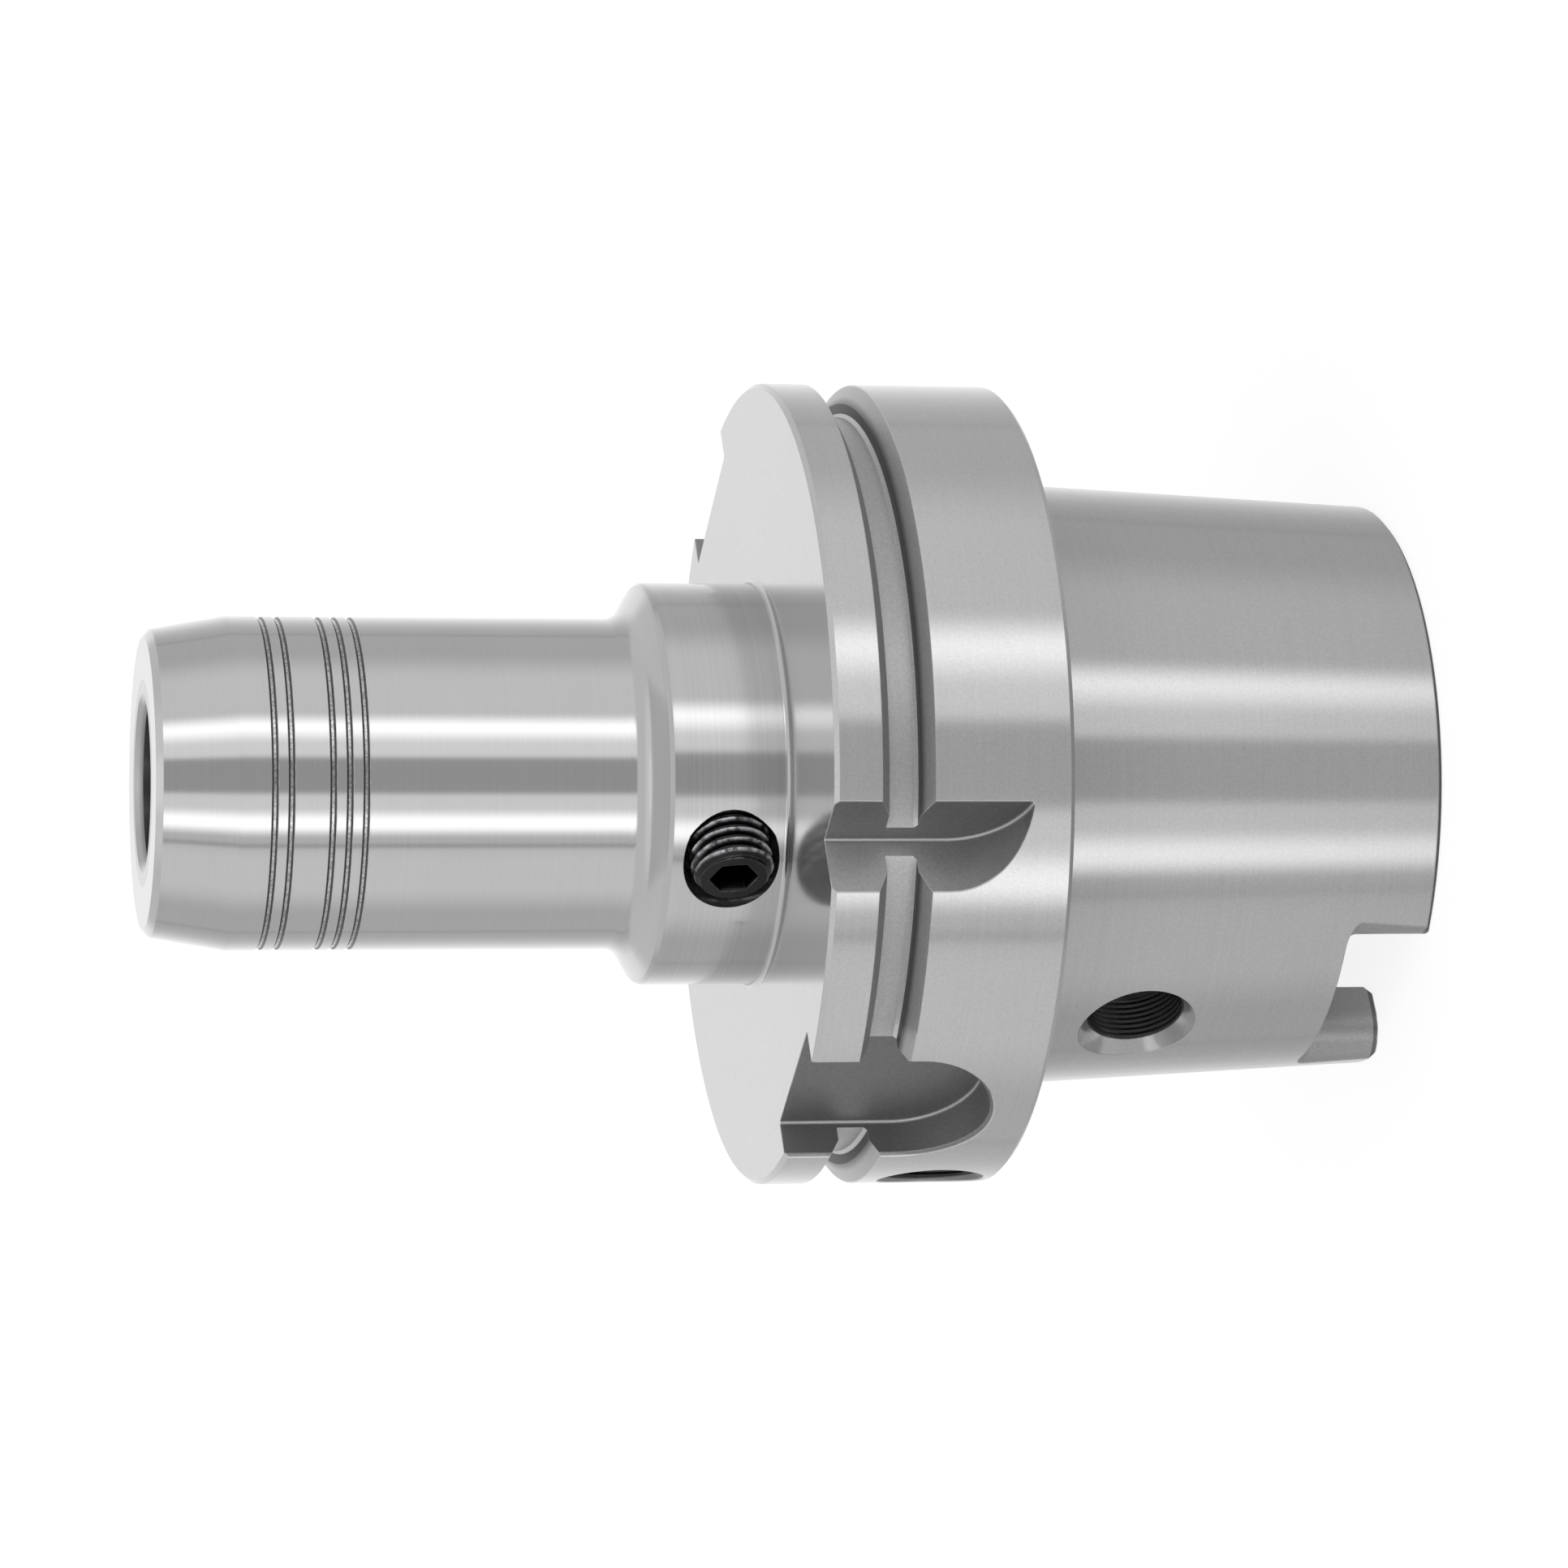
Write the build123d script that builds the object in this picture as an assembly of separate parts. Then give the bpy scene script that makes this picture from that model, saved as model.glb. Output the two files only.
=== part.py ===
from build123d import *
import os
from math import atan2, cos, degrees, radians, sin, sqrt, tan

# Hydraulic expansion chuck on a size 100 hollow taper shank, in millimetres.
# Z is the chuck's own axis with the nose up, and Z = 0 is the flange face that meets the
# spindle. The gripper slot that carries the access hole lies towards -Y.

# Hollow taper shank
gauge_d = 75.013
gauge_depth = 10.0
taper_ratio = 9.98
shank_length = 50.0
shank_edge = 0.6
relief_width = 1.0
relief_depth = 0.4
hollow_d = 53.0
claw_d = 58.0
claw_depth = 28.56
claw_angle = 30.0
claw_corner = 1.5
hollow_floor = 8.0
hollow_edge = 1.0

# Coolant way through the middle
tube_thread_d = 24.0
tube_thread_length = 16.0
tube_thread_edge = 1.0
coolant_d = 8.0
drill_point = 118.0

# Two drive slots in the end of the shank
end_slot_width = 20.0
end_slot_depth = 10.6
end_slot_flat = 32.4
end_slot_nose = 4.3
end_slot_corner = 1.8

# Access hole through the wall of the shank
access_d = 12.0
access_depth = 15.2
access_sink = 2.45
access_sink_angle = 60.0

# Flange with its gripper groove
flange_d = 100.0
flange_width = 29.0
flange_edge = 0.55
groove_place = 20.1
groove_mouth = 6.4
groove_neck = 3.75
groove_angle = 60.0
groove_floor_d = 92.0
groove_corner = 0.4

# Two wide slots, a notch and the chip hole in the rim of the flange
near_slot_width = 20.0
far_slot_width = 22.0
slot_floor = 44.0
slot_end = 5.5
slot_edge = 0.5
slot_corner = 0.3
notch_vertex = 44.27
notch_cutter_d = 20.0
notch_end = 4.6
chip_hole_d = 12.0
chip_hole_place = 8.0
chip_hole_turn = 26.0
chip_hole_depth = 5.5
chip_hole_edge = 0.8
chip_hole_angle = 90.0

# Collar, flare and nose
collar_d = 50.0
collar_end = 43.6
collar_root = 0.7
collar_edge = 0.35
flare_angle = 60.0
flare_root = 3.0
nose_d = 41.0
projection = 105.0
cone_angle = 10.0
cone_tip_d = 37.5
nose_edge = 0.8
ring_places = (14.0, 16.0, 21.0, 23.0, 25.0)
ring_mouth = 0.84
ring_floor = 0.36
ring_depth = 0.25

# Thin bush that grips the tool, with the oil round it
tool_d = 20.0
tool_depth = 51.0
tool_edge = 1.0
bush_d = 25.4
braze_gap = 0.02
oil_wall = 1.6
bush_end_land = 6.0
bush_mid_land = 5.0
oil_pass_width = 4.0
oil_pass_depth = 0.7

# Length adjusting screw behind the tool
adjuster_d = 12.0
adjuster_length = 22.0
adjuster_travel = 10.0
adjuster_edge = 0.8
adjuster_hex = 6.0
adjuster_hex_depth = 9.0
adjuster_hole_d = 5.0
adjuster_rest_gap = 0.3
adjuster_room = 1.0
adjuster_well_d = 14.0
adjuster_well_depth = 4.0
ring_seal_d = 1.8
ring_seal_land = 2.3
ring_seal_gap = 0.1

# Clamping screw in its bore beside the middle
screw_d = 10.0
screw_pitch = 1.5
screw_length = 16.0
screw_turns = 3
screw_edge = 0.9
screw_hex = 5.0
screw_hex_depth = 6.0
screw_hex_turn = 37.0
screw_place = 36.0
screw_offset = 13.0
screw_face = 23.8
screw_entry_d = 11.8
screw_entry_floor = 17.2
screw_entry_rise = 2.2
running_gap = 0.05

# Piston and seal that the screw pushes
piston_d = 8.0
piston_length = 8.0
piston_edge = 0.4
seal_length = 3.0
seal_lip = 1.0
touch_gap = 0.02
oil_reserve = 1.0
oil_way_d = 2.0

# Filling hole at the end of the piston bore
filler_d = 6.0
filler_length = 5.0
filler_hex = 3.0
filler_hex_depth = 2.5
filler_sunk = 3.0
filler_turn = 17.0
filler_edge = 0.5
ball_d = 4.0
ball_seat_angle = 90.0

# Cutters run past a surface by this much, and two places nearer than this are the same
past = 1.0
same_place = 0.001

# Places that follow from the sizes
flange_r = flange_d / 2
stop_z = projection - tool_depth
screw_tip = screw_face - screw_length
screw_travel = screw_pitch * screw_turns
piston_face = screw_tip - touch_gap
seal_face = piston_face - piston_length
thread_end = screw_tip - screw_travel - oil_reserve
bore_end = seal_face - seal_length - screw_travel - oil_reserve
lower_oil = stop_z + bush_end_land
upper_oil = projection - bush_end_land
oil_length = (upper_oil - lower_oil - bush_mid_land) / 2


def taper_r(z):
    """Radius of the shank's taper at a height."""
    return gauge_d / 2 + (z + gauge_depth) / (2 * taper_ratio)


def turned(points, rounds=()):
    """Solid turned from an outline of (radius, height) points, some with rounded corners."""
    outline = make_face(Polyline(*points, close=True))
    for place, radius in rounds:
        corner = outline.vertices().sort_by_distance(Vector(*place))[0]
        outline = fillet(corner, radius)
    return revolve(Plane.XZ * outline, Axis.Z)


def rod(diameter, start, end):
    """Round bar from one point to another."""
    along = Vector(*end) - Vector(*start)
    return extrude(Plane(origin=start, z_dir=along) * Circle(diameter / 2), along.length)


def facing(turn, height=0.0, reach=0.0):
    """Plane whose normal points out of the axis, turned from -Y towards -X."""
    out = Vector(-sin(radians(turn)), -cos(radians(turn)), 0)
    across = Vector(cos(radians(turn)), -sin(radians(turn)), 0)
    return Plane(origin=out * reach + Vector(0, 0, height), x_dir=across, z_dir=out)


def screw_line(reach):
    """Plane across the screw's axis, at a distance from the middle of the chuck."""
    return Plane(origin=(screw_offset, -reach, screw_place), x_dir=(1, 0, 0), z_dir=(0, -1, 0))


def blank():
    """Outside of the holder: shank, flange, collar and nose."""
    flare_rise = (collar_d - nose_d) / 2 / tan(radians(flare_angle))
    edge_in = collar_edge * sin(radians(flare_angle))
    edge_up = collar_edge * cos(radians(flare_angle))
    cone_start = projection - (nose_d - cone_tip_d) / 2 / tan(radians(cone_angle))
    rim_r = cone_tip_d / 2 - nose_edge
    bevel_z = projection - nose_edge
    bevel_r = cone_tip_d / 2 + nose_edge * tan(radians(cone_angle))
    outline = [
        (0, -shank_length),
        (taper_r(-shank_length) - shank_edge, -shank_length),
        (taper_r(shank_edge - shank_length), shank_edge - shank_length),
        (taper_r(relief_depth), relief_depth),
        (taper_r(0) + relief_width, relief_depth),
        (taper_r(0) + relief_width, 0),
        (flange_r - flange_edge, 0),
        (flange_r, flange_edge),
        (flange_r, flange_width - flange_edge),
        (flange_r - flange_edge, flange_width),
        (collar_d / 2 + collar_root, flange_width),
        (collar_d / 2, flange_width + collar_root),
        (collar_d / 2, collar_end - collar_edge),
        (collar_d / 2 - edge_in, collar_end + edge_up),
        (nose_d / 2, collar_end + flare_rise),
        (nose_d / 2, cone_start),
        (bevel_r, bevel_z),
        (rim_r, projection),
        (0, projection),
    ]
    return turned(outline, [((nose_d / 2, collar_end + flare_rise), flare_root)])


def rim_edges(body, turn):
    """Edges that one slot leaves on the round of the flange, without its level circles."""
    out = facing(turn).z_dir

    def on_rim(point):
        across = Vector(point.X, point.Y, 0).length
        return abs(across - flange_r) < same_place and point.dot(out) > slot_floor

    edges = [e for e in body.edges() if all(on_rim(e @ share) for share in (0, 0.3, 0.7, 1))]
    return [e for e in edges if abs((e @ 0 - e @ 0.3).Z) > same_place]


def recess(shape):
    """Cutter that goes outwards from its floor, with bevelled corners round the floor."""
    cutter = extrude(shape, flange_r)
    out = shape.faces()[0].normal_at()
    floor = cutter.faces().sort_by(Axis(origin=(0, 0, 0), direction=out))[0]
    return chamfer(floor.edges(), slot_corner)


def wide_slot(turn, width):
    """Cutter for a slot that is open at the front of the flange and round at its end."""
    tail = slot_end + width / 2
    top = flange_width + past
    shape = Pos(0, tail) * Circle(width / 2)
    shape += Pos(0, (tail + top) / 2) * Rectangle(width, top - tail)
    return recess(facing(turn, reach=slot_floor) * shape)


def notch():
    """Cutter for the right-angled notch: one side is its floor, the other its wall."""
    corner = notch_vertex * sin(radians(45))
    radius = notch_cutter_d / 2
    tail = notch_end + radius
    top = flange_width + past
    shape = Pos(corner + radius, tail) * Circle(radius)
    shape += Pos(corner + flange_r / 2, (tail + top) / 2) * Rectangle(flange_r, top - tail)
    return recess(facing(0, reach=corner) * shape)


def gripper_groove():
    """Cutter for the groove round the flange, a V mouth over a square channel."""
    neck_r = flange_r - (groove_mouth - groove_neck) / 2 / tan(radians(groove_angle / 2))
    outside = flange_r + past
    mouth = groove_mouth / 2 + past * tan(radians(groove_angle / 2))
    floor_r = groove_floor_d / 2
    outline = [
        (floor_r, groove_place - groove_neck / 2 + groove_corner),
        (floor_r + groove_corner, groove_place - groove_neck / 2),
        (neck_r, groove_place - groove_neck / 2),
        (outside, groove_place - mouth),
        (outside, groove_place + mouth),
        (neck_r, groove_place + groove_neck / 2),
        (floor_r, groove_place + groove_neck / 2),
    ]
    return turned(outline)


def marking_rings():
    """Cutters for the shallow rings turned into the nose."""
    rings = []
    for place in ring_places:
        z = projection - place
        floor, mouth = ring_floor / 2, ring_mouth / 2
        inner, level, outer = nose_d / 2 - ring_depth, nose_d / 2, nose_d / 2 + past
        low_side = [(inner, z - floor), (level, z - mouth), (outer, z - mouth)]
        high_side = [(outer, z + mouth), (level, z + mouth), (inner, z + floor)]
        rings.append(turned(low_side + high_side))
    return rings


def inside():
    """Everything bored from the two ends along the axis."""
    slope = tan(radians(claw_angle))
    claw_rise = (claw_d - hollow_d) / 2 / slope
    shank = turned(
        [
            (0, -shank_length - past),
            (hollow_d / 2 + hollow_edge + past, -shank_length - past),
            (hollow_d / 2, -shank_length + hollow_edge),
            (hollow_d / 2, -claw_depth),
            (claw_d / 2, -claw_depth + claw_rise),
            (claw_d / 2, -hollow_floor - claw_corner),
            (claw_d / 2 - claw_corner, -hollow_floor),
            (0, -hollow_floor),
        ]
    )
    point = tan(radians(drill_point / 2))
    thread_top = -hollow_floor + tube_thread_length
    well_z = stop_z - adjuster_well_depth
    adjuster_r = adjuster_d / 2 + running_gap
    adjuster_low = stop_z - adjuster_rest_gap - adjuster_length - adjuster_room
    middle = turned(
        [
            (0, -hollow_floor - past),
            (tube_thread_d / 2 + tube_thread_edge + past, -hollow_floor - past),
            (tube_thread_d / 2, -hollow_floor + tube_thread_edge),
            (tube_thread_d / 2, thread_top),
            (coolant_d / 2, thread_top + (tube_thread_d - coolant_d) / 2 / point),
            (coolant_d / 2, adjuster_low - (adjuster_r - coolant_d / 2) / point),
            (adjuster_r, adjuster_low),
            (adjuster_r, well_z),
            (adjuster_well_d / 2, well_z),
            (adjuster_well_d / 2, stop_z),
            (bush_d / 2, stop_z),
            (bush_d / 2, projection + past),
            (0, projection + past),
        ]
    )
    return [shank, middle]


def end_slot(turn):
    """Cutter for one drive slot, with its two round shoulders."""
    half = end_slot_width / 2
    wide = half + end_slot_nose
    start = end_slot_flat - end_slot_nose
    side = Polyline((0, 0), (half, 0), (half, start))
    side += RadiusArc((half, start), (wide, end_slot_flat), end_slot_nose)
    outer = [(wide, end_slot_flat), (flange_r, end_slot_flat), (flange_r, flange_r)]
    side += Polyline(*outer, (0, flange_r), (0, 0))
    shape = make_face(side)
    shape += mirror(shape, Plane.YZ)
    below = Plane(origin=(0, 0, -shank_length - past), x_dir=-facing(turn).x_dir, z_dir=(0, 0, 1))
    cutter = extrude(below * shape, end_slot_depth + past)
    return fillet(cutter.faces().sort_by(Axis.Z)[-1].edges(), end_slot_corner)


def countersunk(turn, height, surface, floor, diameter, sink, angle):
    """Cutter for a hole towards the axis, with a lead-in as deep as the sink."""
    grow = tan(radians(angle / 2))
    hole = extrude(facing(turn, height, floor) * Circle(diameter / 2), flange_r)
    return hole + loft([
        facing(turn, height, surface - sink) * Circle(diameter / 2),
        facing(turn, height, surface + past) * Circle(diameter / 2 + (sink + past) * grow),
    ])


def round_holes():
    """Access hole in the shank and chip hole in the rim."""
    wall = taper_r(-access_depth)
    floor = flange_r - chip_hole_depth
    return [
        countersunk(0, -access_depth, wall, 0, access_d, access_sink, access_sink_angle),
        countersunk(
            chip_hole_turn, chip_hole_place, flange_r, floor, chip_hole_d, chip_hole_edge, chip_hole_angle
        ),
    ]


def filler_axis():
    """Start of the filling hole at the end of the piston bore, and its direction."""
    start = Vector(screw_offset, -bore_end, screw_place)
    return start, Vector(-sin(radians(filler_turn)), cos(radians(filler_turn)), 0)


def filler_reach():
    """Distance along the filling hole from its start to the surface of the collar."""
    start, out = filler_axis()
    flat = Vector(start.X, start.Y, 0)
    across = flat.dot(out)
    return -across + sqrt(across ** 2 + (collar_d / 2) ** 2 - flat.length ** 2)


def filler_plane(reach):
    """Plane across the filling hole, at a distance from its start."""
    start, out = filler_axis()
    return Plane(origin=start + out * reach, x_dir=(0, 0, 1), z_dir=out)


def ball_place():
    """Distance of the ball's middle from the start of the filling hole."""
    return filler_reach() - filler_sunk - filler_length - touch_gap - ball_d / 2


def hydraulic_bores():
    """Screw bore, piston bore, oil way and filling hole."""
    long_way = collar_d
    entry_wall = screw_entry_floor + screw_entry_rise
    bores = [
        extrude(screw_line(thread_end) * Circle(screw_d / 2 + running_gap), long_way),
        extrude(screw_line(entry_wall) * Circle(screw_entry_d / 2), long_way),
        loft([
            screw_line(screw_entry_floor) * Circle(screw_d / 2 + running_gap),
            screw_line(entry_wall) * Circle(screw_entry_d / 2),
        ]),
        extrude(screw_line(bore_end) * Circle(piston_d / 2 + running_gap), long_way),
    ]
    start = Vector(screw_offset, -bore_end - oil_way_d / 2, screw_place)
    flat = Vector(start.X, start.Y, 0).normalized() * (bush_d / 2)
    bores.append(rod(oil_way_d, start, flat + Vector(0, 0, lower_oil + oil_way_d)))
    seat = ball_place()
    bores.append(extrude(filler_plane(0) * Circle(oil_way_d / 2), seat))
    cone_start = seat - touch_gap - ball_d / 2 / sin(radians(ball_seat_angle / 2))
    cone_r = filler_d / 2 + running_gap
    cone_end = cone_start + cone_r / tan(radians(ball_seat_angle / 2))
    bores.append(extrude(filler_plane(cone_end) * Circle(cone_r), long_way))
    tip_r = oil_way_d / 4
    bores.append(loft([
        filler_plane(cone_start + tip_r) * Circle(tip_r),
        filler_plane(cone_end) * Circle(cone_r),
    ]))
    return bores


def holder_body():
    """The one-piece steel body."""
    body = blank()
    for turn, width in ((0, near_slot_width), (180, far_slot_width)):
        body -= wide_slot(turn, width)
        body = chamfer(rim_edges(body, turn), slot_edge)
    for cutter in [notch(), gripper_groove(), end_slot(0), end_slot(180)]:
        body -= cutter
    for cutter in marking_rings() + inside() + round_holes() + hydraulic_bores():
        body -= cutter
    return body


def expansion_sleeve():
    """Thin bush, thick at its ends and middle, thinned where the oil presses on it."""
    outer = bush_d / 2 - braze_gap
    inner = tool_d / 2
    thin = inner + oil_wall
    bush = turned([
        (inner, stop_z),
        (outer, stop_z),
        (outer, lower_oil),
        (thin, lower_oil),
        (thin, lower_oil + oil_length),
        (outer, lower_oil + oil_length),
        (outer, upper_oil - oil_length),
        (thin, upper_oil - oil_length),
        (thin, upper_oil),
        (outer, upper_oil),
        (outer, projection),
        (inner + tool_edge, projection),
        (inner, projection - tool_edge),
    ])
    turn = degrees(atan2(-screw_offset, bore_end))
    middle = facing(turn, (upper_oil + lower_oil) / 2, outer - oil_pass_depth)
    return bush - extrude(middle * Rectangle(oil_pass_width, oil_length + bush_mid_land), bush_d)


def socket(plane, across_flats, depth, turn=0.0):
    """Cutter for a hexagon socket that goes into the piece behind a plane."""
    hexagon = Rot(0, 0, turn) * RegularPolygon(across_flats / 2, 6, major_radius=False)
    return extrude(plane * hexagon, -depth)


def set_screw(plane, diameter, length, edge):
    """Headless screw that ends at a plane and runs back from it."""
    bar = extrude(plane * Circle(diameter / 2), -length)
    return chamfer(bar.edges().filter_by(GeomType.CIRCLE), edge)


def clamping_screw():
    """Set screw with its hexagon socket, turned to squeeze the oil."""
    face = screw_line(screw_face)
    screw = set_screw(face, screw_d, screw_length, screw_edge)
    return screw - socket(face, screw_hex, screw_hex_depth, screw_hex_turn)


def pressure_piston():
    """Short ground pin between the screw and the seal."""
    return set_screw(screw_line(piston_face), piston_d, piston_length, piston_edge)


def piston_seal():
    """Rubber cup with its open lip towards the oil."""
    far_end = seal_face - seal_length
    seal = extrude(screw_line(seal_face) * Circle(piston_d / 2), -seal_length)
    hollow = loft([
        screw_line(far_end + seal_length / 2) * Circle(piston_d / 2 - 2 * seal_lip),
        screw_line(far_end) * Circle(piston_d / 2 - seal_lip),
    ])
    return seal - hollow


def filler_screw():
    """Small set screw that closes the filling hole."""
    face = filler_plane(filler_reach() - filler_sunk)
    screw = set_screw(face, filler_d, filler_length, filler_edge)
    return screw - socket(face, filler_hex, filler_hex_depth)


def filler_ball():
    """Ball that seals the filling hole under its screw."""
    return filler_plane(ball_place()).location * Sphere(ball_d / 2)


def ring_seal_z():
    """Height of the ring seal at rest, low enough to stay in the plain bore over the travel."""
    return stop_z - adjuster_well_depth - adjuster_travel - ring_seal_land


def adjusting_screw():
    """Hollow set screw that stops the tool, with a groove for its ring seal."""
    face = Plane(origin=(0, 0, stop_z - adjuster_rest_gap))
    screw = set_screw(face, adjuster_d, adjuster_length, adjuster_edge)
    screw -= socket(face, adjuster_hex, adjuster_hex_depth)
    screw -= extrude(face * Circle(adjuster_hole_d / 2), -adjuster_length)
    half = ring_seal_d / 2 + ring_seal_gap
    inner = adjuster_d / 2 - ring_seal_d - ring_seal_gap
    outer = adjuster_d / 2 + past
    z = ring_seal_z()
    return screw - turned([(inner, z - half), (outer, z - half), (outer, z + half), (inner, z + half)])


def adjusting_seal():
    """Rubber ring of square section in the groove of the adjusting screw."""
    ends = [(0, 0, ring_seal_z() - ring_seal_d / 2), (0, 0, ring_seal_z() + ring_seal_d / 2)]
    return rod(adjuster_d, *ends) - rod(adjuster_d - 2 * ring_seal_d, *ends)


pieces = {
    "holder_body": holder_body(),
    "expansion_sleeve": expansion_sleeve(),
    "clamping_screw": clamping_screw(),
    "pressure_piston": pressure_piston(),
    "piston_seal": piston_seal(),
    "filler_screw": filler_screw(),
    "filler_ball": filler_ball(),
    "adjusting_screw": adjusting_screw(),
    "adjusting_seal": adjusting_seal(),
}

os.makedirs("parts", exist_ok=True)
for name, piece in pieces.items():
    export_step(piece, f"parts/{name}.step")
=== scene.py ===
from math import cos, pi, radians, sin, tan

import bmesh
import bpy
from mathutils import Matrix, Vector


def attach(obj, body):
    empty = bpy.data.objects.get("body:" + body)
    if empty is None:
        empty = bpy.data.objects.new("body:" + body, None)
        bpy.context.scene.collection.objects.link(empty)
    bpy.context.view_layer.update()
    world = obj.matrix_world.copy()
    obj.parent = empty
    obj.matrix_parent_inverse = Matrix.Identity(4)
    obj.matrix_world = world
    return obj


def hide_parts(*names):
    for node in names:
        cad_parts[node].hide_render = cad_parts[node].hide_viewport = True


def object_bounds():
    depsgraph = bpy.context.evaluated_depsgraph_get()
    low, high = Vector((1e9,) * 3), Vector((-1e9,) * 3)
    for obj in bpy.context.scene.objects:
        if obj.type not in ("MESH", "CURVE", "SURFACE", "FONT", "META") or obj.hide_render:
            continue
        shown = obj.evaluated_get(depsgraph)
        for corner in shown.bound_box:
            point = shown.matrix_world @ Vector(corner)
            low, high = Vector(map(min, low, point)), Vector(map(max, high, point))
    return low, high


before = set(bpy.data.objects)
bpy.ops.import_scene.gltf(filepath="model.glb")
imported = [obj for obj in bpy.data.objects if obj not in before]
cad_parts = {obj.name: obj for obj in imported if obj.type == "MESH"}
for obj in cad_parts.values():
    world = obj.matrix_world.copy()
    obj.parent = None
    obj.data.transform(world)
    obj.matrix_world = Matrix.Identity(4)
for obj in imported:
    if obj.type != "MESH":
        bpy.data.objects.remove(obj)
cad_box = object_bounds()
scene = bpy.context.scene

# The studio: a pale floor under a soft box, ringed by tall grey and white panels that the
# ground steel mirrors as bands along its length. The chuck stands on the end of its shank.

mm = 0.001
camera_place = Vector((558.3, -413.1, 168.9)) * mm
camera_aim = Vector((-0.78708, 0.58241, -0.203242))
picture_right = Vector((0.16338, -0.12089, -0.97913))
picture_up = Vector((0.5948, 0.8039, 0.0))
camera_roll = radians(0.0565)
camera_lens = 129.9
camera_turn = radians(36.5)
sensor_width, nearest_seen, furthest_seen = 36.0, 0.01, 50.0

lens = bpy.data.cameras.new("photo_camera")
lens.lens = camera_lens
lens.sensor_width = sensor_width
lens.clip_start, lens.clip_end = nearest_seen, furthest_seen
camera = bpy.data.objects.new("photo_camera", lens)
across = picture_right * cos(camera_roll) + picture_up * sin(camera_roll)
upward = picture_up * cos(camera_roll) - picture_right * sin(camera_roll)
axes = Matrix((across.normalized(), upward.normalized(), -camera_aim.normalized())).transposed()
camera.matrix_world = Matrix.Translation(camera_place) @ axes.to_4x4()
scene.collection.objects.link(camera)
scene.camera = camera
scene.view_settings.view_transform = "Standard"


def place(tree, kind, inputs=(), **settings):
    """Adds a shader node with its settings, and sets or links its inputs."""
    node = tree.nodes.new(kind)
    for name, value in settings.items():
        setattr(node, name, value)
    for name, value in dict(inputs).items():
        if isinstance(value, bpy.types.NodeSocket):
            tree.links.new(value, node.inputs[name])
        else:
            node.inputs[name].default_value = value
    return node


def maths(tree, operation, *values):
    """Output of a Math node."""
    return place(tree, "ShaderNodeMath", enumerate(values), operation=operation).outputs[0]


def ramp(tree, value, low, high, start=0.0, end=1.0):
    """Smooth step from start to end as a value goes from low to high."""
    inputs = {"Value": value, "From Min": low, "From Max": high, "To Min": start, "To Max": end}
    return place(tree, "ShaderNodeMapRange", inputs, interpolation_type="SMOOTHSTEP").outputs[0]


def blend_values(tree, factor, low, high):
    """Output that goes from one value to another by a factor."""
    return place(tree, "ShaderNodeMix", {"Factor": factor, "A": low, "B": high}).outputs[0]


def new_group(name, inputs, outputs):
    """Empty shader node group with named sockets, with its input and output node."""
    tree = bpy.data.node_groups.new(name, "ShaderNodeTree")
    for socket, default in inputs.items():
        made = tree.interface.new_socket(socket, in_out="INPUT", socket_type="NodeSocketFloat")
        made.default_value = default
    for socket, kind in outputs.items():
        tree.interface.new_socket(socket, in_out="OUTPUT", socket_type=kind)
    return tree, tree.nodes.new("NodeGroupInput"), tree.nodes.new("NodeGroupOutput")


def use_group(tree, group, **inputs):
    """Places a node group in a tree with its own values."""
    node = tree.nodes.new("ShaderNodeGroup")
    node.node_tree = group
    for name, value in inputs.items():
        socket = node.inputs[name.replace("_", " ")]
        if isinstance(value, bpy.types.NodeSocket):
            tree.links.new(value, socket)
        else:
            socket.default_value = value
    return node


panel, panel_in, panel_out = new_group(
    "tall_panel",
    {"Turn": 0.0, "Centre": 0.0, "Half Width": 10.0, "Softness": 2.0, "Behind": 0.7, "Brightness": 1.0},
    {"Light": "NodeSocketFloat"},
)
off_centre = maths(panel, "SUBTRACT", panel_in.outputs["Turn"], panel_in.outputs["Centre"])
inner_edge = maths(panel, "SUBTRACT", panel_in.outputs["Half Width"], panel_in.outputs["Softness"])
outer_edge = maths(panel, "ADD", panel_in.outputs["Half Width"], panel_in.outputs["Softness"])
covered = ramp(panel, maths(panel, "ABSOLUTE", off_centre), inner_edge, outer_edge, 1.0, 0.0)
panel.links.new(
    blend_values(panel, covered, panel_in.outputs["Behind"], panel_in.outputs["Brightness"]),
    panel_out.inputs["Light"],
)

studio = bpy.data.worlds.new("studio")
studio.use_nodes = True
studio.cycles.sampling_method = "NONE"
scene.world = studio
tree = studio.node_tree
tree.nodes.clear()
direction = place(tree, "ShaderNodeMapping", {"Rotation": (0, 0, camera_turn)})
tree.links.new(tree.nodes.new("ShaderNodeTexCoord").outputs["Generated"], direction.inputs["Vector"])
way = place(tree, "ShaderNodeSeparateXYZ", {"Vector": direction.outputs[0]})
turn = maths(tree, "DEGREES", maths(tree, "ARCTAN2", way.outputs["Y"], way.outputs["X"]))
either_side = maths(tree, "ABSOLUTE", turn)


def hang(light, turned, panels):
    """Adds tall panels to a light, each with a centre, half width, softness and brightness."""
    for centre, half_width, softness, brightness in panels:
        light = use_group(
            tree, panel, Turn=turned, Centre=centre, Half_Width=half_width, Softness=softness,
            Behind=light, Brightness=brightness,
        ).outputs["Light"]
    return light


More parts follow.
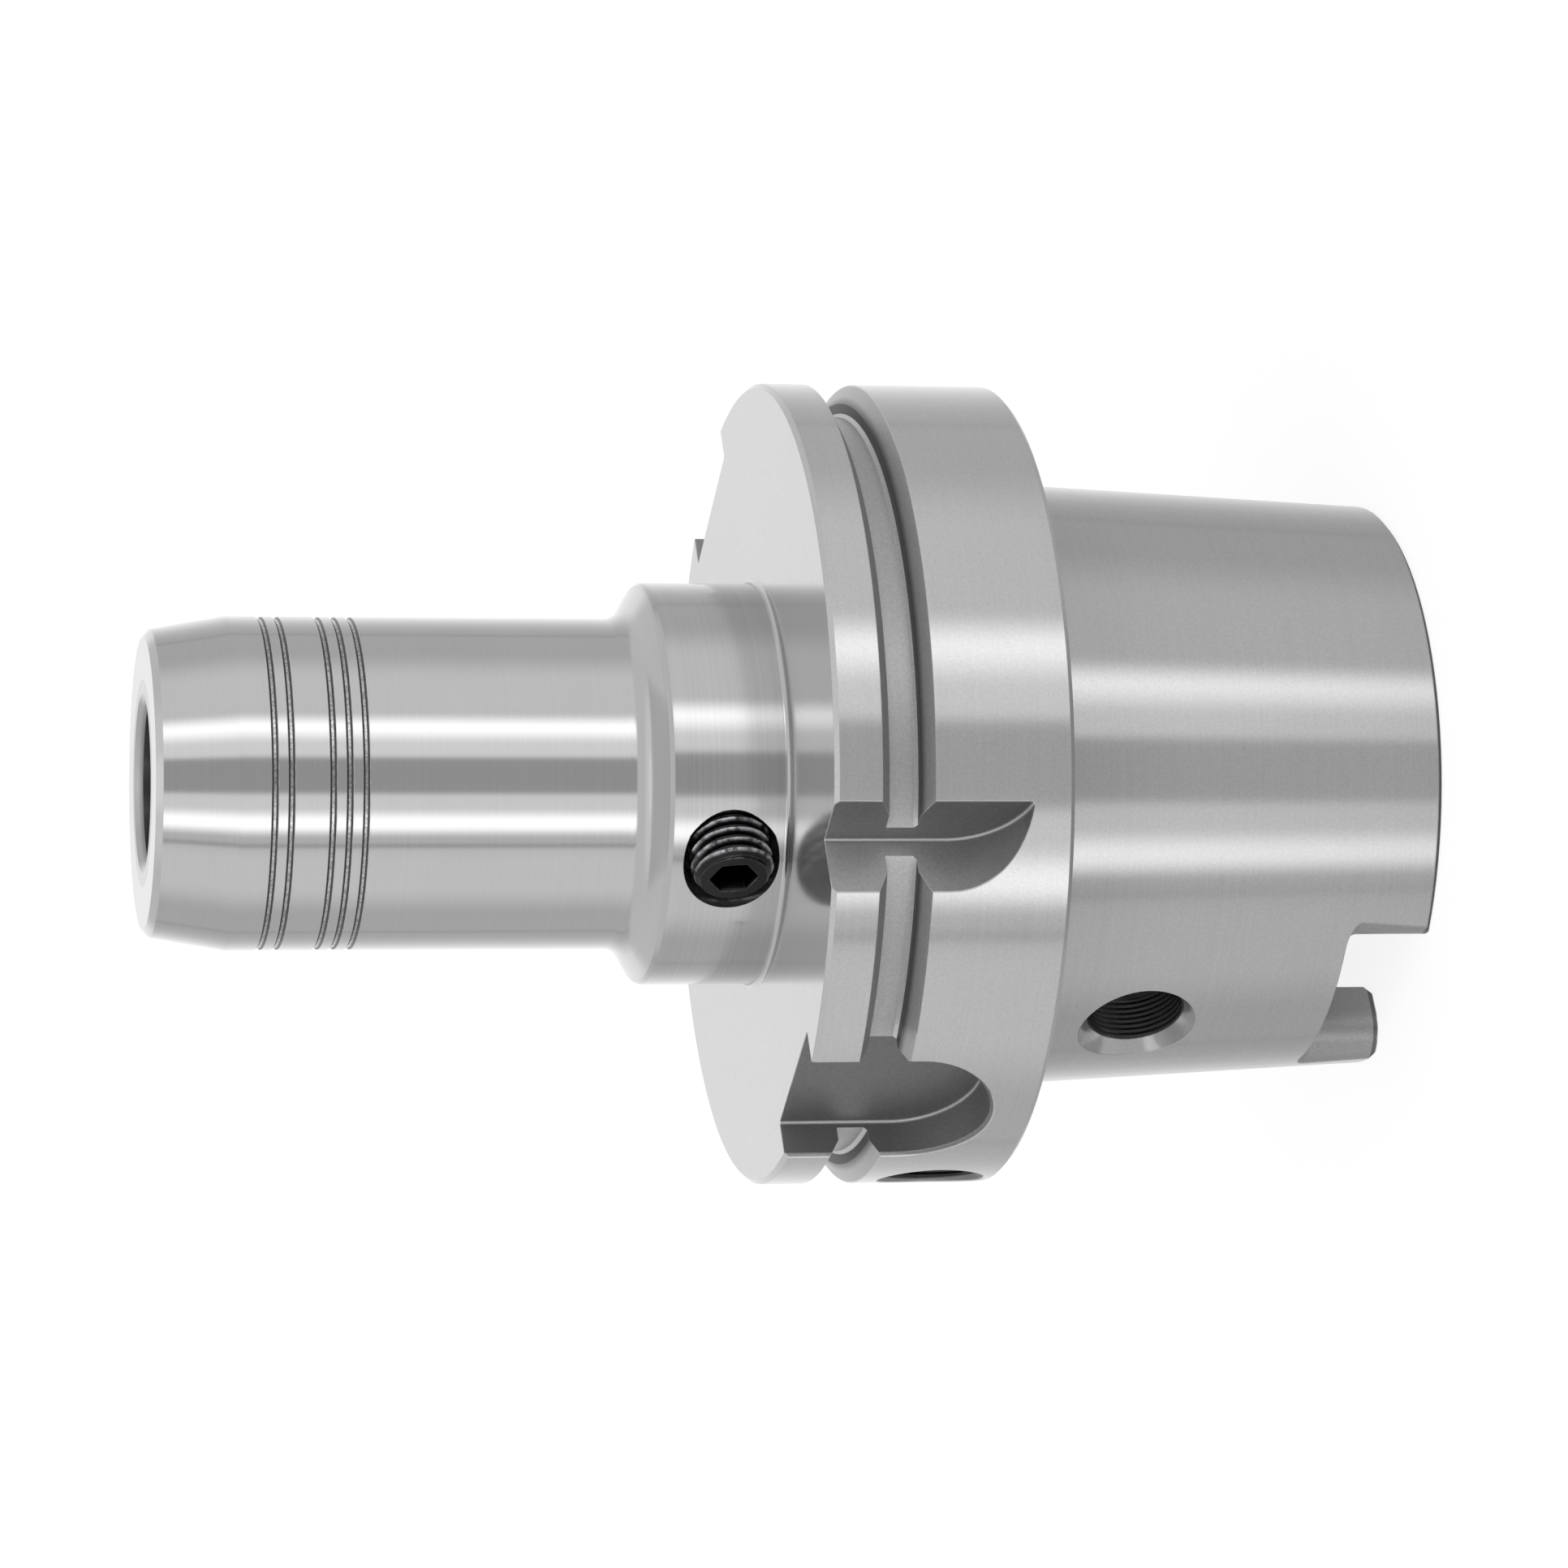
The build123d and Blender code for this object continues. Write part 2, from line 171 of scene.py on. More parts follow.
grey_walls, low_walls = 0.55, 0.78
zones = {
    "ceiling": (0.28, 0.45, 0.68), "overhead": (0.80, 0.94, 0.80), "zenith": (0.97, 0.995, 0.93),
    "floor_glow": (-0.33, -0.55, 0.45), "underfoot": (-0.85, -0.95, 0.22),
}
side_panels = [(180, 32, 20, 0.97), (125.5, 1.8, 1.2, 0.48), (66, 24, 14, 0.77)]
near_panels = [
    (6, 14, 1.5, 0.41), (27, 9, 2.5, 0.93), (39, 6, 6, 1.65),
    (-17, 10, 2.5, 0.87), (-27.5, 6, 5, 1.65), (-43.5, 1.6, 1.6, 0.42),
]
upward = way.outputs["Z"]
light = hang(grey_walls, either_side, side_panels)
light = maths(tree, "MULTIPLY", light, ramp(tree, upward, -0.31, -0.23, low_walls, 1.0))
light = hang(light, turn, near_panels)
for starting, full, brightness in zones.values():
    light = blend_values(tree, ramp(tree, upward, starting, full), light, brightness)
path = tree.nodes.new("ShaderNodeLightPath")
soft_fill, white_background = 0.75, 1.0
strength = blend_values(tree, path.outputs["Is Glossy Ray"], soft_fill, light)
strength = blend_values(tree, path.outputs["Is Transmission Ray"], strength, light)
strength = blend_values(tree, path.outputs["Is Camera Ray"], strength, white_background)
air = place(tree, "ShaderNodeBackground", {"Color": (1, 1, 1, 1), "Strength": strength})
tree.links.new(air.outputs[0], tree.nodes.new("ShaderNodeOutputWorld").inputs["Surface"])

soft_box = bpy.data.lights.new("soft_box", "AREA")
soft_box.shape = "SQUARE"
soft_box.size = 1.2
soft_box.energy = 7.0
lamp = bpy.data.objects.new("soft_box", soft_box)
lamp.location = (0.75, -0.75, 1.25)
lamp.rotation_euler = (-lamp.location).to_track_quat("-Z", "Y").to_euler()
lamp.visible_glossy = False
scene.collection.objects.link(lamp)

floor_reach, floor_gap = 4.0, 0.05 * mm
floor_level = cad_box[0].z - floor_gap
floor_mesh = bpy.data.meshes.new("floor")
corners = [(x * floor_reach, y * floor_reach, floor_level) for x, y in ((-1, -1), (1, -1), (1, 1), (-1, 1))]
floor_mesh.from_pydata(corners, [], [(0, 1, 2, 3)])
floor = bpy.data.objects.new("floor", floor_mesh)
scene.collection.objects.link(floor)


def new_material(name):
    """Empty node material and its tree."""
    material = bpy.data.materials.new(name)
    material.use_nodes = True
    material.node_tree.nodes.clear()
    return material, material.node_tree


paper, tree = new_material("pale_paper")
path = tree.nodes.new("ShaderNodeLightPath")
paper_white, glow, glow_share = (0.8, 0.8, 0.8, 1), 1.1, 0.8
lit = place(tree, "ShaderNodeBsdfDiffuse", {"Color": paper_white})
white = place(tree, "ShaderNodeEmission", {"Color": (1, 1, 1, 1), "Strength": glow})
glowing = maths(tree, "MULTIPLY", path.outputs["Is Camera Ray"], glow_share)
seen = place(tree, "ShaderNodeMixShader", {"Fac": glowing})
tree.links.new(lit.outputs[0], seen.inputs[1])
tree.links.new(white.outputs[0], seen.inputs[2])
mirrored = maths(tree, "MAXIMUM", path.outputs["Is Glossy Ray"], path.outputs["Is Transmission Ray"])
from_below = tree.nodes.new("ShaderNodeNewGeometry").outputs["Backfacing"]
sheet = place(tree, "ShaderNodeMixShader", {"Fac": maths(tree, "MAXIMUM", mirrored, from_below)})
tree.links.new(seen.outputs[0], sheet.inputs[1])
tree.links.new(tree.nodes.new("ShaderNodeBsdfTransparent").outputs[0], sheet.inputs[2])
tree.links.new(sheet.outputs[0], tree.nodes.new("ShaderNodeOutputMaterial").inputs["Surface"])
floor_mesh.materials.append(paper)

# The body of the chuck: one piece of case-hardened steel, turned, then ground on the taper,
# the flange and the nose. Slots, notch and gripper groove are milled or turned and left satin.
# Deep holes and the walls of the five rings on the nose are darkened with painted shade.

finish, finish_in, finish_out = new_group(
    "steel_finish",
    {"Line Spacing": 0.3, "Around": 12.0, "Streaks": 0.05, "Mottle": 0.03, "Satin": 0.0},
    {"Shade": "NodeSocketFloat", "Lines": "NodeSocketFloat", "Height": "NodeSocketFloat"},
)


def length_of(tree, first, second):
    """Long side of a right-angled triangle with these two legs."""
    squares = [maths(tree, "MULTIPLY", leg, leg) for leg in (first, second)]
    return maths(tree, "SQRT", maths(tree, "ADD", *squares))


spot = finish.nodes.new("ShaderNodeTexCoord").outputs["Object"]
spot_xyz = place(finish, "ShaderNodeSeparateXYZ", {"Vector": spot})
radius = length_of(finish, spot_xyz.outputs["X"], spot_xyz.outputs["Y"])
along = maths(finish, "DIVIDE", maths(finish, "ADD", spot_xyz.outputs["Z"], radius), mm)
lines_place = place(finish, "ShaderNodeCombineXYZ", {
    "X": maths(finish, "MULTIPLY", spot_xyz.outputs["X"], finish_in.outputs["Around"]),
    "Y": maths(finish, "MULTIPLY", spot_xyz.outputs["Y"], finish_in.outputs["Around"]),
    "Z": maths(finish, "DIVIDE", along, finish_in.outputs["Line Spacing"]),
})


def noise(tree, vector, scale, detail, roughness=0.5):
    """Value of a noise texture."""
    inputs = {"Vector": vector, "Scale": scale, "Detail": detail, "Roughness": roughness}
    return place(tree, "ShaderNodeTexNoise", inputs).outputs[0]


lines = noise(finish, lines_place.outputs[0], 1.0, 3.0, 0.6)
clouds = noise(finish, spot, 90.0, 4.0, 0.55)
grain = noise(finish, spot, 3400.0, 2.0)


def centred(tree, value, amount):
    """A noise value made to swing evenly round zero, by an amount."""
    return maths(tree, "MULTIPLY", maths(tree, "SUBTRACT", value, 0.5), amount)


swing = centred(finish, lines, finish_in.outputs["Streaks"])
swing = maths(finish, "ADD", swing, centred(finish, clouds, finish_in.outputs["Mottle"]))
swing = maths(finish, "ADD", swing, centred(finish, grain, finish_in.outputs["Satin"]))
finish.links.new(maths(finish, "ADD", 1.0, swing), finish_out.inputs["Shade"])
finish.links.new(lines, finish_out.inputs["Lines"])
height = maths(finish, "ADD", lines, maths(finish, "MULTIPLY", grain, finish_in.outputs["Satin"]))
finish.links.new(height, finish_out.inputs["Height"])


def vectors(tree, operation, *values, output="Vector"):
    """Output of a Vector Math node."""
    return place(tree, "ShaderNodeVectorMath", enumerate(values), operation=operation).outputs[output]


def scaled_by(tree, vector, factor):
    """A vector made longer, or a colour made lighter or darker, by a factor."""
    return place(tree, "ShaderNodeVectorMath", {0: vector, "Scale": factor}, operation="SCALE").outputs[0]


def soft_edges(tree, height, distance, edge, true_normal=None):
    """Normal with the fine relief of a finish, and edges that look slightly broken."""
    relief = place(tree, "ShaderNodeBump", {"Height": height, "Strength": 1.0, "Distance": distance})
    if true_normal:
        tree.links.new(true_normal, relief.inputs["Normal"])
    return place(tree, "ShaderNodeBevel", {"Radius": edge, "Normal": relief.outputs[0]}, samples=4).outputs[0]


def edge_wear(tree, width):
    """Mask of the edges that are broken and rubbed bright, a brightening that is partly wear and partly
    painted highlight.
    """
    first_worn, fully_worn = 0.01, 0.10
    rounded = place(tree, "ShaderNodeBevel", {"Radius": width}, samples=6).outputs[0]
    plain = tree.nodes.new("ShaderNodeNewGeometry").outputs["Normal"]
    lean = vectors(tree, "DOT_PRODUCT", rounded, plain, output="Value")
    return ramp(tree, maths(tree, "SUBTRACT", 1.0, lean), first_worn, fully_worn)


def finish_material(tree, colour, roughness, normal, **constants):
    """Adds the surface shader and the output of a material."""
    inputs = {"Base Color": colour, "Roughness": roughness, "Normal": normal}
    shader = place(tree, "ShaderNodeBsdfPrincipled", inputs)
    for name, value in constants.items():
        shader.inputs[name.replace("_", " ")].default_value = value
    tree.links.new(shader.outputs[0], tree.nodes.new("ShaderNodeOutputMaterial").inputs["Surface"])
    return shader


def round_the_axis(tree, shader):
    """Makes the gloss follow the turned lines round the chuck's axis."""
    turned = tree.nodes.new("ShaderNodeTangent")
    turned.direction_type, turned.axis = "RADIAL", "Z"
    tree.links.new(turned.outputs[0], shader.inputs["Tangent"])


def both(tree, *masks):
    """Mask that holds where all the masks hold."""
    result = masks[0]
    for mask in masks[1:]:
        result = maths(tree, "MULTIPLY", result, mask)
    return result


def below(tree, value, limit):
    """Mask that holds where a value is under a limit."""
    return maths(tree, "LESS_THAN", value, limit)


def above(tree, value, limit):
    """Mask that holds where a value is over a limit."""
    return maths(tree, "GREATER_THAN", value, limit)


def between(tree, value, low, high):
    """Mask that holds where a value is over a low and under a high limit."""
    return both(tree, above(tree, value, low), below(tree, value, high))


def spot_in_mm(tree):
    """The three coordinates of the shaded spot, in millimetres."""
    spot = tree.nodes.new("ShaderNodeTexCoord").outputs["Object"]
    return place(tree, "ShaderNodeSeparateXYZ", {"Vector": scaled_by(tree, spot, 1 / mm)}).outputs


turned, turned_in, turned_out = new_group(
    "turned_normal", {"Rise": 0.0, "Milled": 0.0, "Match": 0.97},
    {"Normal": "NodeSocketVector", "Outward": "NodeSocketFloat"},
)
spot = turned.nodes.new("ShaderNodeTexCoord")
spot_xyz = place(turned, "ShaderNodeSeparateXYZ", {"Vector": spot.outputs["Object"]})
radius = length_of(turned, spot_xyz.outputs["X"], spot_xyz.outputs["Y"])
flat_way = place(turned, "ShaderNodeCombineXYZ", {
    "X": maths(turned, "DIVIDE", spot_xyz.outputs["X"], radius),
    "Y": maths(turned, "DIVIDE", spot_xyz.outputs["Y"], radius),
}).outputs[0]
rising = place(turned, "ShaderNodeCombineXYZ", {"Z": turned_in.outputs["Rise"]}).outputs[0]
ideal = vectors(turned, "NORMALIZE", vectors(turned, "ADD", flat_way, rising))
meshed = spot.outputs["Normal"]
leaning = vectors(turned, "DOT_PRODUCT", meshed, ideal, output="Value")
agrees = above(turned, leaning, turned_in.outputs["Match"])
used = both(turned, agrees, maths(turned, "SUBTRACT", 1.0, turned_in.outputs["Milled"]))
change = scaled_by(turned, vectors(turned, "SUBTRACT", ideal, meshed), used)
exact = vectors(turned, "NORMALIZE", vectors(turned, "ADD", meshed, change))
in_world = place(
    turned, "ShaderNodeVectorTransform", {"Vector": exact},
    vector_type="NORMAL", convert_from="OBJECT", convert_to="WORLD",
)
facing_out = vectors(turned, "DOT_PRODUCT", meshed, flat_way, output="Value")
turned.links.new(in_world.outputs[0], turned_out.inputs["Normal"])
turned.links.new(facing_out, turned_out.inputs["Outward"])

steel_colour = (0.60, 0.60, 0.605)
ground_steel, tree = new_material("ground_steel")
x, y, z = spot_in_mm(tree)
radius = length_of(tree, x, y)
from_x, from_y = maths(tree, "ABSOLUTE", x), maths(tree, "ABSOLUTE", y)
near_side, far_side = below(tree, y, 0.0), above(tree, y, 0.0)
mesh_way = place(
    tree, "ShaderNodeSeparateXYZ", {"Vector": tree.nodes.new("ShaderNodeTexCoord").outputs["Normal"]},
)

# Milled and satin: what lies inside the ground taper and inside the flange's rim, in mm.
taper_rise, taper_face_r, ground_skin = 0.0501, 38.0075, 0.12
shank_z, shank_rim_z = (-49.9, 0.45), -49.4
flange_z, flange_rim_r, front_edge_sum = (0.6, 28.9), 49.85, 78.3
taper_r = maths(tree, "ADD", maths(tree, "MULTIPLY", z, taper_rise), taper_face_r)
inside_taper = below(tree, radius, maths(tree, "SUBTRACT", taper_r, ground_skin))
in_shank = both(tree, inside_taper, between(tree, z, *shank_z))
# The shank's end rim, darkened below as painted shade.
shank_rim = both(tree, in_shank, below(tree, z, shank_rim_z))
rim_limit = maths(tree, "MINIMUM", flange_rim_r, maths(tree, "SUBTRACT", front_edge_sum, z))
in_flange = both(tree, below(tree, radius, rim_limit), between(tree, z, *flange_z))

# Painted shade in the holes: the access hole in the taper, the chip hole and the holes in the collar.
key_hole_depth, key_hole_r, key_hole_floor_r = 15.2, 6.05, 26.0
sink_r, sink_floor_r = 9.0, 34.0
from_key_hole = length_of(tree, x, maths(tree, "ADD", z, key_hole_depth))
key_hole = both(
    tree, near_side, below(tree, from_key_hole, key_hole_r), above(tree, radius, key_hole_floor_r),
)
countersink = both(tree, near_side, below(tree, from_key_hole, sink_r), above(tree, radius, sink_floor_r))
shank_milled = both(tree, in_shank, maths(tree, "SUBTRACT", 1.0, countersink))
milled = maths(tree, "MAXIMUM", in_flange, shank_milled)

chip_turn, chip_hole_z, chip_hole_r, chip_hole_floor_r = radians(26.0), 8.0, 6.05, 44.2
beside_chip = maths(
    tree, "SUBTRACT",
    maths(tree, "MULTIPLY", x, cos(chip_turn)), maths(tree, "MULTIPLY", y, sin(chip_turn)),
)
from_chip_hole = length_of(tree, beside_chip, maths(tree, "SUBTRACT", z, chip_hole_z))
chip_hole = both(
    tree, near_side, below(tree, from_chip_hole, chip_hole_r), above(tree, radius, chip_hole_floor_r),
)
collar_z, collar_hole_r = (29.3, 43.4), 24.85
in_collar = both(tree, below(tree, radius, collar_hole_r), between(tree, z, *collar_z))
hole_shade = maths(tree, "MAXIMUM", in_collar, maths(tree, "MAXIMUM", key_hole, chip_hole))

# The marking rings, three and then two, each 2 mm from the next, with rough floors that glint.
rings_z, rings_r, ring_floor_r = (79.0, 92.0), (15.0, 20.46), 20.28
between_rings, first_three_z, last_two_z, half_step, ring_half = 86.0, 80.0, 89.0, 1.0, 0.15
ring = both(tree, between(tree, radius, *rings_r), between(tree, z, *rings_z))
lowest_ring = blend_values(tree, above(tree, z, between_rings), first_three_z, last_two_z)
from_ring = maths(tree, "PINGPONG", maths(tree, "SUBTRACT", z, lowest_ring), half_step)
ring_floor = both(tree, ring, below(tree, radius, ring_floor_r), below(tree, from_ring, ring_half))


def rise_of_round(tree, z, radius, centre_z, centre_r):
    """How much the normal rises on a turned round whose arc has this centre."""
    return maths(
        tree, "DIVIDE", maths(tree, "SUBTRACT", centre_z, z), maths(tree, "SUBTRACT", centre_r, radius),
    )


# True normals of what is turned, so that it mirrors as a smooth round: taper, flare, cone, root.
nose_start, taper_front, cone_start, cone_rise = 44.0, 0.4, 95.08, 0.1763
flare_z, flare_centre = (45.34, 47.92), (47.93, 23.5)
root_z, root_r, root_centre = (29.005, 29.7), (24.98, 25.69), (29.7, 25.705)
polished, on_nose = above(tree, z, collar_z[0]), above(tree, z, nose_start)
flare_rise = rise_of_round(tree, z, radius, *flare_centre)
rise = maths(tree, "MULTIPLY", between(tree, z, *flare_z), flare_rise)
rise = blend_values(tree, below(tree, z, taper_front), rise, -taper_rise)
rise = blend_values(tree, above(tree, z, cone_start), rise, cone_rise)
in_root = both(tree, between(tree, z, *root_z), between(tree, radius, *root_r))
rise = blend_values(tree, in_root, rise, rise_of_round(tree, z, radius, *root_centre))
close_match, loose_match = 0.97, 0.6
agreement = blend_values(tree, in_root, close_match, loose_match)
round_form = use_group(tree, turned, Rise=rise, Milled=milled, Match=agreement)

# The gripper groove: its floor, and three bands of the flank that faces the nose, foot to top. The foot gets
# a painted highlight, the bands above it painted shade.
outward = above(tree, round_form.outputs["Outward"], 0.95)
groove_floor_r, slot_floor_r = (45.7, 46.3), (43.9, 45.65)
groove_floor = both(tree, outward, in_flange, between(tree, radius, *groove_floor_r))
slot_floor = both(tree, outward, in_flange, between(tree, radius, *slot_floor_r))
facing_nose = above(tree, mesh_way.outputs["Z"], 0.6)
groove_side_z, groove_foot_z, groove_flank_z = (18.0, 18.9), (18.0, 18.75), (16.5, 18.3)
groove_side_r, groove_foot_r, groove_flank_r = (46.42, 47.75), (45.9, 46.42), 47.65
groove_side = both(
    tree, facing_nose, between(tree, z, *groove_side_z), between(tree, radius, *groove_side_r),
)
groove_foot = both(
    tree, facing_nose, between(tree, z, *groove_foot_z), between(tree, radius, *groove_foot_r),
)
groove_flank = both(
    tree, facing_nose, in_flange, between(tree, z, *groove_flank_z), above(tree, radius, groove_flank_r),
)

# Slots and notch: their walls and floors, and the thin bevel that the end mill left between, which gets a
# painted highlight.
slot_floor_y, slot_mouth_y, slot_half_width = 44.0, 42.0, 10.1
notch_place, notch_start_x, notch_end_y, notch_inner_r = 31.304, 30.0, -31.0, 44.0
in_slot = above(tree, from_y, slot_mouth_y)
slot_wall = both(tree, in_flange, in_slot, below(tree, from_x, slot_half_width))
in_notch = both(tree, in_flange, above(tree, x, notch_start_x), above(tree, radius, notch_inner_r))
notch_wall = both(tree, in_notch, above(tree, mesh_way.outputs["X"], 0.5), below(tree, y, notch_end_y))
notch_floor = both(tree, in_notch, below(tree, mesh_way.outputs["Y"], -0.9))
near_cutter_r, far_cutter_r, notch_cutter_z, slot_end = 10.0, 11.0, 14.6, 5.5
cutter_r = blend_values(tree, far_side, near_cutter_r, far_cutter_r)
cutter_x = blend_values(tree, in_slot, notch_place + near_cutter_r, 0.0)
cutter_z = blend_values(tree, in_slot, notch_cutter_z, maths(tree, "ADD", cutter_r, slot_end))
past_end = maths(tree, "MINIMUM", maths(tree, "SUBTRACT", z, cutter_z), 0.0)
from_axis = length_of(tree, maths(tree, "SUBTRACT", x, cutter_x), past_end)
from_wall = maths(tree, "SUBTRACT", cutter_r, from_axis)
from_floor = maths(tree, "SUBTRACT", from_y, blend_values(tree, in_slot, notch_place, slot_floor_y))
bevel_reach = (-0.05, 0.45)
floor_corner = both(
    tree, in_flange, between(tree, from_floor, *bevel_reach), between(tree, from_wall, *bevel_reach),
)
off_bevel = maths(tree, "ABSOLUTE", maths(tree, "SUBTRACT", from_floor, from_wall))

# What the finish does to the steel: fine turned lines, satin grain, and a tone for each mask, where many
# tones are painted shade and painted highlight, marked below.
surface = use_group(
    tree, finish, Line_Spacing=0.35, Around=14.0,
    Streaks=blend_values(tree, polished, 0.09, blend_values(tree, on_nose, 0.20, 0.07)), Mottle=0.05,
    Satin=blend_values(tree, milled, blend_values(tree, polished, 0.22, 0.03), 0.45),
)
glitter = noise(tree, tree.nodes.new("ShaderNodeTexCoord").outputs["Object"], 2600.0, 1.0)
ground_tone, collar_tone, nose_tone = 1.0, 1.03, 1.07
worn_tone, wear_width = 1.2, 0.09 * mm
tone = blend_values(tree, polished, ground_tone, blend_values(tree, on_nose, collar_tone, nose_tone))
for mask, share in [
    # Milled faces are duller, and painted shade darkens them further the more they face the nose.
    (milled, ramp(tree, mesh_way.outputs["Z"], 0.0, 0.8, 0.58, 0.36)),
    (in_shank, 0.73),
    (both(tree, countersink, in_shank), 1.2),
    # Painted shade inside the slots: their walls and floors darkened.
    (slot_wall, 0.40),
    (slot_floor, 0.42),
    # Painted shade: the notch's wall darker towards the shank, its floor darker towards the rim.
    (notch_wall, ramp(tree, z, 8.0, 24.0, 0.42, 0.78)),
    (notch_floor, ramp(tree, x, 31.3, 39.0, 0.50, 0.34)),
    (groove_floor, 0.95),
    # Painted shade: the groove's flank darker towards its foot.
    (groove_flank, ramp(tree, radius, 47.7, 48.7, 0.24, 0.74)),
    # Edges brightened: partly wear, partly painted highlight, also in inner corners.
    (both(tree, milled, edge_wear(tree, wear_width)), worn_tone),
    # Painted highlight: a bright line along the bevel between floor and wall.
    (floor_corner, ramp(tree, off_bevel, 0.06, 0.18, 0.88, 0.46)),
    # Painted shade on the groove's inner wall.
    (groove_side, 0.18),
    # Painted highlight at the groove's foot.
    (groove_foot, 1.25),
    # Painted shade: a dark strip at the end of the shank.
    (shank_rim, 0.32),
    # Painted shade: the hole walls darkened, and made less metallic below.
    (hole_shade, 0.36),
    # Painted shade on the walls of the rings.
    (ring, 0.28),
    (ring_floor, ramp(tree, glitter, 0.35, 0.65, 0.60, 1.05)),
]:
    tone = blend_values(tree, mask, tone, share)
roughness = blend_values(tree, on_nose, 0.14, 0.11)
for mask, share in [
    (milled, blend_values(tree, groove_flank, 0.46, 0.35)), (ring, 0.40), (ring_floor, 0.20),
]:
    roughness = blend_values(tree, mask, roughness, share)
relief, broken_edge = 0.0003 * mm, 0.12 * mm
shader = finish_material(
    tree, scaled_by(tree, steel_colour, maths(tree, "MULTIPLY", surface.outputs["Shade"], tone)),
    maths(tree, "ADD", roughness, centred(tree, surface.outputs["Lines"], 0.05)),
    soft_edges(tree, surface.outputs["Height"], relief, broken_edge, round_form.outputs["Normal"]),
    Anisotropic=0.5, Anisotropic_Rotation=0.25,
)
front_face_z, satin_metal, facing_metal, bright_metal = 28.95, 0.75, 0.83, 1.0
bright = both(tree, polished, maths(tree, "SUBTRACT", 1.0, hole_shade))
metallic = blend_values(tree, above(tree, z, front_face_z), satin_metal, facing_metal)
tree.links.new(blend_values(tree, bright, metallic, bright_metal), shader.inputs["Metallic"])
round_the_axis(tree, shader)


def dress(node_name, material):
    """Gives a carried-over piece its finished material."""
    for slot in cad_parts[node_name].material_slots:
        slot.material = material


dress("holder_body", ground_steel)

# The threads cut in the body before hardening, darkened with painted shade like the holes they are in:
# M24 x 1.5 for the coolant tube behind the taper, and fine threads in two 12 mm holes.


def thread_material(name, axis_place, axis_way, crest, base=0.03, dullness=0.23):
    """Dark material of a thread: black oxide on the screws, painted shade on the threads in the body's holes;
    crests and edges are lightened, partly as wear and partly as painted highlight.
    """
    crest_depth, rubbed_edge = 0.45, 0.07 * mm
    plain_shade, edge_wear_and_highlight, crest_wear_and_highlight = 1.2, 15.0, 24.0
    material, tree = new_material(name)
    spot = tree.nodes.new("ShaderNodeTexCoord").outputs["Object"]
    beside = vectors(tree, "SUBTRACT", spot, Vector(axis_place) * mm)
    off_axis = vectors(tree, "LENGTH", vectors(tree, "CROSS_PRODUCT", beside, axis_way), output="Value")
    worn_and_highlit = ramp(tree, off_axis, (crest - crest_depth) * mm, crest * mm)
    wear = noise(tree, spot, 900.0, 4.0, 0.6)
    speck = noise(tree, spot, 4000.0, 2.0)
    patches = both(tree, worn_and_highlit, ramp(tree, wear, 0.3, 0.65))
    edges = both(tree, edge_wear(tree, rubbed_edge), ramp(tree, wear, 0.35, 0.6, 0.3, 1.0))
    # Crests and edges lightened many times over: partly worn oxide, partly painted highlight.
    shade = blend_values(tree, patches, plain_shade, crest_wear_and_highlight)
    shade = maths(tree, "ADD", blend_values(tree, edges, shade, edge_wear_and_highlight), centred(tree, wear, 0.8))
    finish_material(
        tree, scaled_by(tree, (base, base, base * 1.04), shade),
        maths(tree, "ADD", dullness, centred(tree, wear, 0.16)),
        soft_edges(tree, speck, 0.002 * mm, 0.08 * mm),
        Metallic=1.0,
    )
    return material


# One turn of a thread: how far along it is and how deep it is cut, both as shares of the pitch.
turns_around = 96
thread_shape = [
    (-0.0625, 0.0), (0.0, 0.0), (0.0625, 0.0), (0.17, 0.186), (0.27, 0.359), (0.375, 0.541),
    (0.5, 0.58), (0.625, 0.541), (0.73, 0.359), (0.83, 0.186),
]


def circle(radius, height):
    """Points round an axis at one height, radius may differ from point to point."""
    points = []
    for step in range(turns_around):
        angle = 2 * pi * step / turns_around
        reach = radius(angle) if callable(radius) else radius
        points.append((reach * cos(angle), reach * sin(angle), height))
    return points


def skin(rows):
    """Points and faces of a wall that joins rings of points."""
    points = [point for row in rows for point in row]
    faces = []
    for lower in range(0, (len(rows) - 1) * turns_around, turns_around):
        upper = lower + turns_around
        for step in range(turns_around):
            after = (step + 1) % turns_around
            faces.append((lower + step, lower + after, upper + after, upper + step))
    return points, faces


def add_thread(points, faces, diameter, pitch, length, kept, share=1.0):
    """Adds the wall of a right-hand thread from zero to its length, trimmed by kept."""
    per_turn, spare_turns = len(thread_shape), 2
    first = -spare_turns * per_turn
    last = int(length / pitch + spare_turns) * per_turn
    start = len(points)
    for row in range(last, first - 1, -1):
        turn_number, part = divmod(row, per_turn)
        phase, depth = thread_shape[part]
        for step in range(turns_around):
            angle = 2 * pi * step / turns_around
            w = pitch * (turn_number + phase + angle / (2 * pi))
            w = min(max(w, 0.0), length)
            r = kept(diameter / 2 - depth * share * pitch, w)
            points.append((r * cos(angle), r * sin(angle), w))
    for row in range(last - first):
        for step in range(turns_around):
            upper = start + row * turns_around + step
            lower = upper + turns_around
            if step < turns_around - 1:
                faces.append((upper, upper + 1, lower + 1, lower))
            elif row >= per_turn:
                back = start + (row - per_turn) * turns_around
                faces.append((upper, back, back + turns_around, lower))


